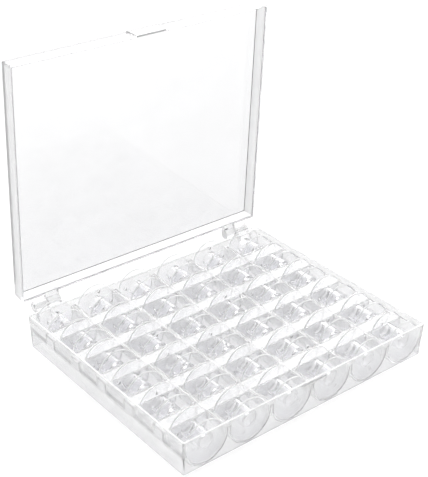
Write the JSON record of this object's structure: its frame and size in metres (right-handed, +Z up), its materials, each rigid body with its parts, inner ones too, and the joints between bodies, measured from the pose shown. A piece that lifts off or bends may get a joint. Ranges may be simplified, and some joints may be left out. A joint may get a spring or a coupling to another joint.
{
  "type": "bobbin box",
  "caption": "Clear hinged-lid box for sewing machine bobbins: a moulded tray of U-shaped pockets in rows, each holding one clear bobbin on edge, and a shallow lid with a thumb latch.",
  "frame": {"origin": "centre of the tray's footprint, at the level of the foot that it rests on", "axes": "+X along the rows of pockets and the hinge, +Y from the latch side towards the hinge, +Z up out of the tray"},
  "size_m": [0.145, 0.1322, 0.1428],
  "materials": {
    "tray_plastic": "clear polystyrene, gloss",
    "lid_plastic": "clear polystyrene, gloss",
    "bobbin_plastic": "clear styrene, gloss"
  },
  "bodies": {
    "tray": {"tray": "tray_plastic"},
    "lid": {"lid": "lid_plastic"},
    "bobbin_r1_c1": {"bobbin_r1_c1": "bobbin_plastic"},
    "bobbin_r1_c2": {"bobbin_r1_c2": "bobbin_plastic"},
    "bobbin_r1_c3": {"bobbin_r1_c3": "bobbin_plastic"},
    "bobbin_r1_c4": {"bobbin_r1_c4": "bobbin_plastic"},
    "bobbin_r1_c5": {"bobbin_r1_c5": "bobbin_plastic"},
    "bobbin_r1_c6": {"bobbin_r1_c6": "bobbin_plastic"},
    "bobbin_r2_c1": {"bobbin_r2_c1": "bobbin_plastic"},
    "bobbin_r2_c2": {"bobbin_r2_c2": "bobbin_plastic"},
    "bobbin_r2_c3": {"bobbin_r2_c3": "bobbin_plastic"},
    "bobbin_r2_c4": {"bobbin_r2_c4": "bobbin_plastic"},
    "bobbin_r2_c5": {"bobbin_r2_c5": "bobbin_plastic"},
    "bobbin_r2_c6": {"bobbin_r2_c6": "bobbin_plastic"},
    "bobbin_r3_c1": {"bobbin_r3_c1": "bobbin_plastic"},
    "bobbin_r3_c2": {"bobbin_r3_c2": "bobbin_plastic"},
    "bobbin_r3_c3": {"bobbin_r3_c3": "bobbin_plastic"},
    "bobbin_r3_c4": {"bobbin_r3_c4": "bobbin_plastic"},
    "bobbin_r3_c5": {"bobbin_r3_c5": "bobbin_plastic"},
    "bobbin_r3_c6": {"bobbin_r3_c6": "bobbin_plastic"},
    "bobbin_r4_c1": {"bobbin_r4_c1": "bobbin_plastic"},
    "bobbin_r4_c2": {"bobbin_r4_c2": "bobbin_plastic"},
    "bobbin_r4_c3": {"bobbin_r4_c3": "bobbin_plastic"},
    "bobbin_r4_c4": {"bobbin_r4_c4": "bobbin_plastic"},
    "bobbin_r4_c5": {"bobbin_r4_c5": "bobbin_plastic"},
    "bobbin_r4_c6": {"bobbin_r4_c6": "bobbin_plastic"},
    "bobbin_r5_c1": {"bobbin_r5_c1": "bobbin_plastic"},
    "bobbin_r5_c2": {"bobbin_r5_c2": "bobbin_plastic"},
    "bobbin_r5_c3": {"bobbin_r5_c3": "bobbin_plastic"},
    "bobbin_r5_c4": {"bobbin_r5_c4": "bobbin_plastic"},
    "bobbin_r5_c5": {"bobbin_r5_c5": "bobbin_plastic"},
    "bobbin_r5_c6": {"bobbin_r5_c6": "bobbin_plastic"},
    "bobbin_r6_c1": {"bobbin_r6_c1": "bobbin_plastic"},
    "bobbin_r6_c2": {"bobbin_r6_c2": "bobbin_plastic"},
    "bobbin_r6_c3": {"bobbin_r6_c3": "bobbin_plastic"},
    "bobbin_r6_c4": {"bobbin_r6_c4": "bobbin_plastic"},
    "bobbin_r6_c5": {"bobbin_r6_c5": "bobbin_plastic"},
    "bobbin_r6_c6": {"bobbin_r6_c6": "bobbin_plastic"}
  },
  "joints": [
    {"name": "lid_hinge", "type": "hinge", "parent": "tray", "child": "lid", "pos_m": [0, 0.06455, 0.0172], "axis": [-1, 0, 0], "range_deg": [-88, 92]},
    {"name": "lift_r1_c1", "type": "slide", "parent": "tray", "child": "bobbin_r1_c1", "axis": [0, 0, 1], "range_m": [0, 0.024]},
    {"name": "lift_r1_c2", "type": "slide", "parent": "tray", "child": "bobbin_r1_c2", "axis": [0, 0, 1], "range_m": [0, 0.024]},
    {"name": "lift_r1_c3", "type": "slide", "parent": "tray", "child": "bobbin_r1_c3", "axis": [0, 0, 1], "range_m": [0, 0.024]},
    {"name": "lift_r1_c4", "type": "slide", "parent": "tray", "child": "bobbin_r1_c4", "axis": [0, 0, 1], "range_m": [0, 0.024]},
    {"name": "lift_r1_c5", "type": "slide", "parent": "tray", "child": "bobbin_r1_c5", "axis": [0, 0, 1], "range_m": [0, 0.024]},
    {"name": "lift_r1_c6", "type": "slide", "parent": "tray", "child": "bobbin_r1_c6", "axis": [0, 0, 1], "range_m": [0, 0.024]},
    {"name": "lift_r2_c1", "type": "slide", "parent": "tray", "child": "bobbin_r2_c1", "axis": [0, 0, 1], "range_m": [0, 0.024]},
    {"name": "lift_r2_c2", "type": "slide", "parent": "tray", "child": "bobbin_r2_c2", "axis": [0, 0, 1], "range_m": [0, 0.024]},
    {"name": "lift_r2_c3", "type": "slide", "parent": "tray", "child": "bobbin_r2_c3", "axis": [0, 0, 1], "range_m": [0, 0.024]},
    {"name": "lift_r2_c4", "type": "slide", "parent": "tray", "child": "bobbin_r2_c4", "axis": [0, 0, 1], "range_m": [0, 0.024]},
    {"name": "lift_r2_c5", "type": "slide", "parent": "tray", "child": "bobbin_r2_c5", "axis": [0, 0, 1], "range_m": [0, 0.024]},
    {"name": "lift_r2_c6", "type": "slide", "parent": "tray", "child": "bobbin_r2_c6", "axis": [0, 0, 1], "range_m": [0, 0.024]},
    {"name": "lift_r3_c1", "type": "slide", "parent": "tray", "child": "bobbin_r3_c1", "axis": [0, 0, 1], "range_m": [0, 0.024]},
    {"name": "lift_r3_c2", "type": "slide", "parent": "tray", "child": "bobbin_r3_c2", "axis": [0, 0, 1], "range_m": [0, 0.024]},
    {"name": "lift_r3_c3", "type": "slide", "parent": "tray", "child": "bobbin_r3_c3", "axis": [0, 0, 1], "range_m": [0, 0.024]},
    {"name": "lift_r3_c4", "type": "slide", "parent": "tray", "child": "bobbin_r3_c4", "axis": [0, 0, 1], "range_m": [0, 0.024]},
    {"name": "lift_r3_c5", "type": "slide", "parent": "tray", "child": "bobbin_r3_c5", "axis": [0, 0, 1], "range_m": [0, 0.024]},
    {"name": "lift_r3_c6", "type": "slide", "parent": "tray", "child": "bobbin_r3_c6", "axis": [0, 0, 1], "range_m": [0, 0.024]},
    {"name": "lift_r4_c1", "type": "slide", "parent": "tray", "child": "bobbin_r4_c1", "axis": [0, 0, 1], "range_m": [0, 0.024]},
    {"name": "lift_r4_c2", "type": "slide", "parent": "tray", "child": "bobbin_r4_c2", "axis": [0, 0, 1], "range_m": [0, 0.024]},
    {"name": "lift_r4_c3", "type": "slide", "parent": "tray", "child": "bobbin_r4_c3", "axis": [0, 0, 1], "range_m": [0, 0.024]},
    {"name": "lift_r4_c4", "type": "slide", "parent": "tray", "child": "bobbin_r4_c4", "axis": [0, 0, 1], "range_m": [0, 0.024]},
    {"name": "lift_r4_c5", "type": "slide", "parent": "tray", "child": "bobbin_r4_c5", "axis": [0, 0, 1], "range_m": [0, 0.024]},
    {"name": "lift_r4_c6", "type": "slide", "parent": "tray", "child": "bobbin_r4_c6", "axis": [0, 0, 1], "range_m": [0, 0.024]},
    {"name": "lift_r5_c1", "type": "slide", "parent": "tray", "child": "bobbin_r5_c1", "axis": [0, 0, 1], "range_m": [0, 0.024]},
    {"name": "lift_r5_c2", "type": "slide", "parent": "tray", "child": "bobbin_r5_c2", "axis": [0, 0, 1], "range_m": [0, 0.024]},
    {"name": "lift_r5_c3", "type": "slide", "parent": "tray", "child": "bobbin_r5_c3", "axis": [0, 0, 1], "range_m": [0, 0.024]},
    {"name": "lift_r5_c4", "type": "slide", "parent": "tray", "child": "bobbin_r5_c4", "axis": [0, 0, 1], "range_m": [0, 0.024]},
    {"name": "lift_r5_c5", "type": "slide", "parent": "tray", "child": "bobbin_r5_c5", "axis": [0, 0, 1], "range_m": [0, 0.024]},
    {"name": "lift_r5_c6", "type": "slide", "parent": "tray", "child": "bobbin_r5_c6", "axis": [0, 0, 1], "range_m": [0, 0.024]},
    {"name": "lift_r6_c1", "type": "slide", "parent": "tray", "child": "bobbin_r6_c1", "axis": [0, 0, 1], "range_m": [0, 0.024]},
    {"name": "lift_r6_c2", "type": "slide", "parent": "tray", "child": "bobbin_r6_c2", "axis": [0, 0, 1], "range_m": [0, 0.024]},
    {"name": "lift_r6_c3", "type": "slide", "parent": "tray", "child": "bobbin_r6_c3", "axis": [0, 0, 1], "range_m": [0, 0.024]},
    {"name": "lift_r6_c4", "type": "slide", "parent": "tray", "child": "bobbin_r6_c4", "axis": [0, 0, 1], "range_m": [0, 0.024]},
    {"name": "lift_r6_c5", "type": "slide", "parent": "tray", "child": "bobbin_r6_c5", "axis": [0, 0, 1], "range_m": [0, 0.024]},
    {"name": "lift_r6_c6", "type": "slide", "parent": "tray", "child": "bobbin_r6_c6", "axis": [0, 0, 1], "range_m": [0, 0.024]}
  ]
}
